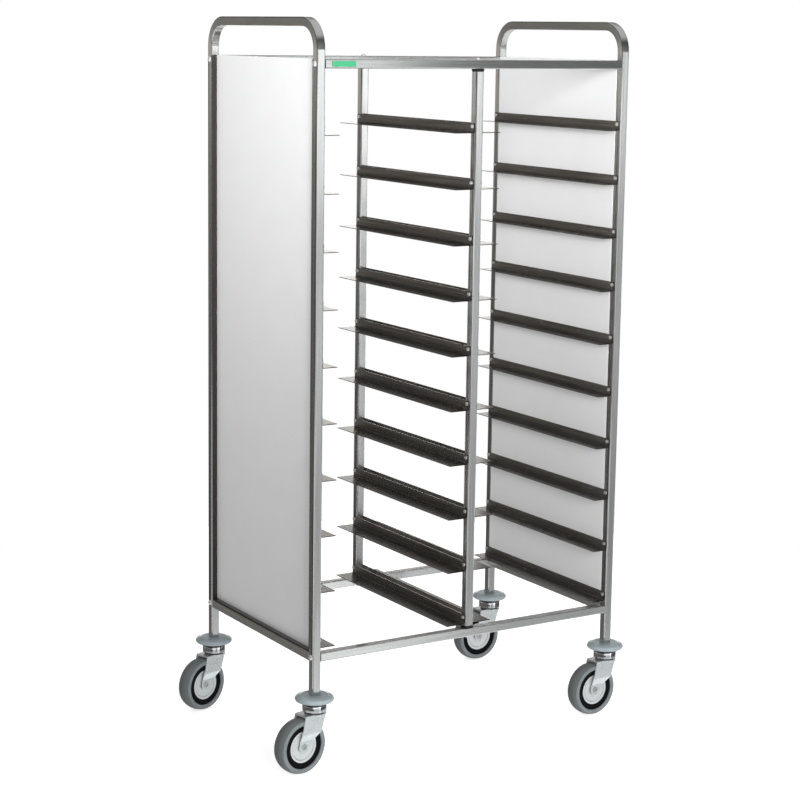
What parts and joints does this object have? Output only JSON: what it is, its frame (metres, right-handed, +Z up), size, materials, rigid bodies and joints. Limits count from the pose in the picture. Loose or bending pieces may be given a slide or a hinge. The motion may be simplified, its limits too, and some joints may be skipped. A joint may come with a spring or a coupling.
{
  "type": "tray return trolley",
  "caption": "Tall wheeled trolley with two bays of angle guides that trays slide onto, grey side panels, loop handles at both ends and swivel casters with bumpers.",
  "frame": {"origin": "on the floor, below the middle of the whole object's box; the frame stands 29.5 mm to the right of it because the wheels trail to the left", "axes": "+Z up, +X to the right along the width, +Y to the back along the way the trays slide in"},
  "size_m": [0.95, 0.585, 1.65],
  "materials": {
    "tube_steel": "satin ground stainless tube",
    "guide_steel": "plain rolled stainless sheet",
    "screw_steel": "bright",
    "panel_board": "smooth light grey laminate",
    "black_plastic": "moulded",
    "black_rubber": "moulded",
    "plate_plastic": "plain green, no lettering",
    "bumper_rubber": "moulded grey, non marking",
    "swivel_chrome": "bright plated",
    "fork_zinc": "bright zinc plated pressing",
    "hub_zinc": "bright zinc plated pressing",
    "bearing_steel": "greased",
    "tyre_rubber": "grey non marking rubber"
  },
  "bodies": {
    "frame": {"left_hoop": "tube_steel", "right_hoop": "tube_steel", "left_side_rail": "tube_steel", "right_side_rail": "tube_steel", "front_top_rail": "tube_steel", "back_top_rail": "tube_steel", "front_bottom_rail": "tube_steel", "back_bottom_rail": "tube_steel", "divider_front_post": "tube_steel", "divider_back_post": "tube_steel", "divider_pads": "black_plastic", "end_plugs": "black_plastic", "frame_screws": "screw_steel", "left_side_panel": "panel_board", "right_side_panel": "panel_board", "guide_screws": "screw_steel", "blank_plate": "plate_plastic", "tray_guides_01": "guide_steel", "tray_guides_02": "guide_steel", "tray_guides_03": "guide_steel", "tray_guides_04": "guide_steel", "tray_guides_05": "guide_steel", "tray_guides_06": "guide_steel", "tray_guides_07": "guide_steel", "tray_guides_08": "guide_steel", "tray_guides_09": "guide_steel", "tray_guides_10": "guide_steel", "caster_stems": "fork_zinc", "caster_seals": "black_rubber", "swivel_bearings": "bearing_steel", "fl_bumper": "bumper_rubber", "fl_swivel_head": "swivel_chrome", "fr_bumper": "bumper_rubber", "fr_swivel_head": "swivel_chrome", "bl_bumper": "bumper_rubber", "bl_swivel_head": "swivel_chrome", "br_bumper": "bumper_rubber", "br_swivel_head": "swivel_chrome"},
    "fl_fork_body": {"fl_fork": "fork_zinc", "fl_axle": "fork_zinc"},
    "fl_wheel_body": {"fl_rim": "black_plastic", "fl_hub_discs": "hub_zinc", "fl_tyre": "tyre_rubber"},
    "fr_fork_body": {"fr_fork": "fork_zinc", "fr_axle": "fork_zinc"},
    "fr_wheel_body": {"fr_rim": "black_plastic", "fr_hub_discs": "hub_zinc", "fr_tyre": "tyre_rubber"},
    "bl_fork_body": {"bl_fork": "fork_zinc", "bl_axle": "fork_zinc"},
    "bl_wheel_body": {"bl_rim": "black_plastic", "bl_hub_discs": "hub_zinc", "bl_tyre": "tyre_rubber"},
    "br_fork_body": {"br_fork": "fork_zinc", "br_axle": "fork_zinc"},
    "br_wheel_body": {"br_rim": "black_plastic", "br_hub_discs": "hub_zinc", "br_tyre": "tyre_rubber"}
  },
  "joints": [
    {"name": "fl_swivel", "type": "hinge", "parent": "frame", "child": "fl_fork_body", "pos_m": [-0.37248, -0.249, 0.13], "axis": [0, 0, 1], "continuous": true},
    {"name": "fl_wheel_spin", "type": "hinge", "parent": "fl_fork_body", "child": "fl_wheel_body", "pos_m": [-0.41286, -0.25612, 0.0625], "axis": [0.1736, -0.9848, 0], "continuous": true},
    {"name": "fr_swivel", "type": "hinge", "parent": "frame", "child": "fr_fork_body", "pos_m": [0.43152, -0.249, 0.13], "axis": [0, 0, 1], "continuous": true},
    {"name": "fr_wheel_spin", "type": "hinge", "parent": "fr_fork_body", "child": "fr_wheel_body", "pos_m": [0.39062, -0.25186, 0.0625], "axis": [0.0698, -0.9976, 0], "continuous": true},
    {"name": "bl_swivel", "type": "hinge", "parent": "frame", "child": "bl_fork_body", "pos_m": [-0.37248, 0.249, 0.13], "axis": [0, 0, 1], "continuous": true},
    {"name": "bl_wheel_spin", "type": "hinge", "parent": "bl_fork_body", "child": "bl_wheel_body", "pos_m": [-0.41169, 0.23701, 0.0625], "axis": [0.2924, -0.9563, 0], "continuous": true},
    {"name": "br_swivel", "type": "hinge", "parent": "frame", "child": "br_fork_body", "pos_m": [0.43152, 0.249, 0.13], "axis": [0, 0, 1], "continuous": true},
    {"name": "br_wheel_spin", "type": "hinge", "parent": "br_fork_body", "child": "br_wheel_body", "pos_m": [0.39052, 0.24828, 0.0625], "axis": [0.0175, -0.9998, 0], "continuous": true}
  ]
}
